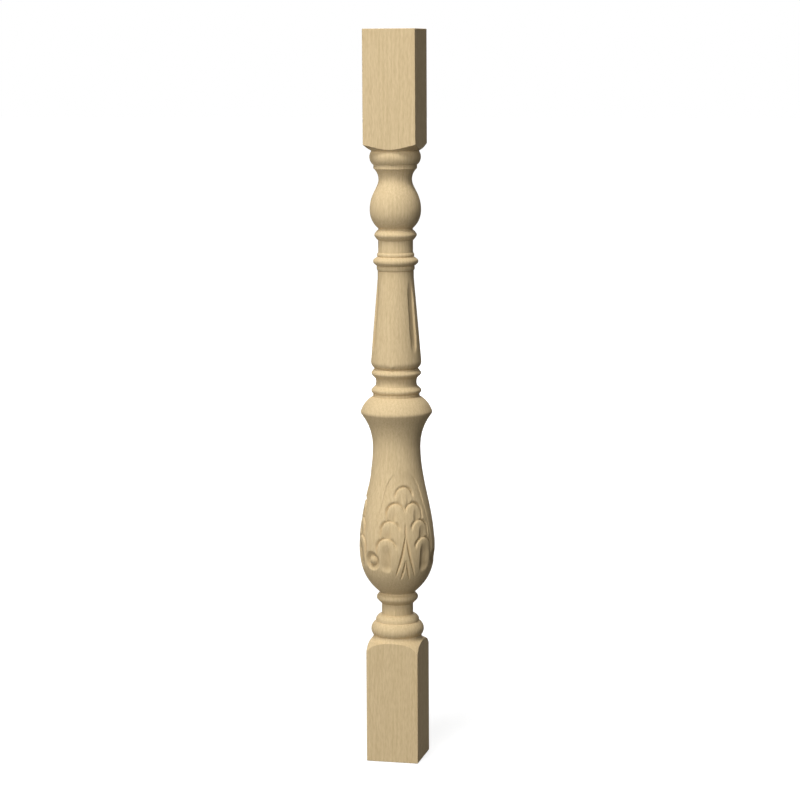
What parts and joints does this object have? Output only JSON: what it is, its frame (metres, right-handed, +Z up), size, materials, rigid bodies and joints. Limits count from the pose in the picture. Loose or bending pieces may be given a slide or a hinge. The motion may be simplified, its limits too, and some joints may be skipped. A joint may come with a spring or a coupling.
{
  "type": "stair baluster",
  "caption": "Turned and carved wooden stair baluster with square ends, a vase carved with leaves, a fluted taper and a ball, made to stand between a tread and a handrail.",
  "frame": {"origin": "middle of the square foot's underside, on the turning axis", "axes": "+Z up along the turning axis, -Y out of the front face of the square ends"},
  "size_m": [0.0932, 0.0929, 0.9],
  "materials": {
    "bare_wood": "sanded bare hardwood, no varnish"
  },
  "bodies": {
    "root": {"baluster": "bare_wood"}
  },
  "joints": []
}
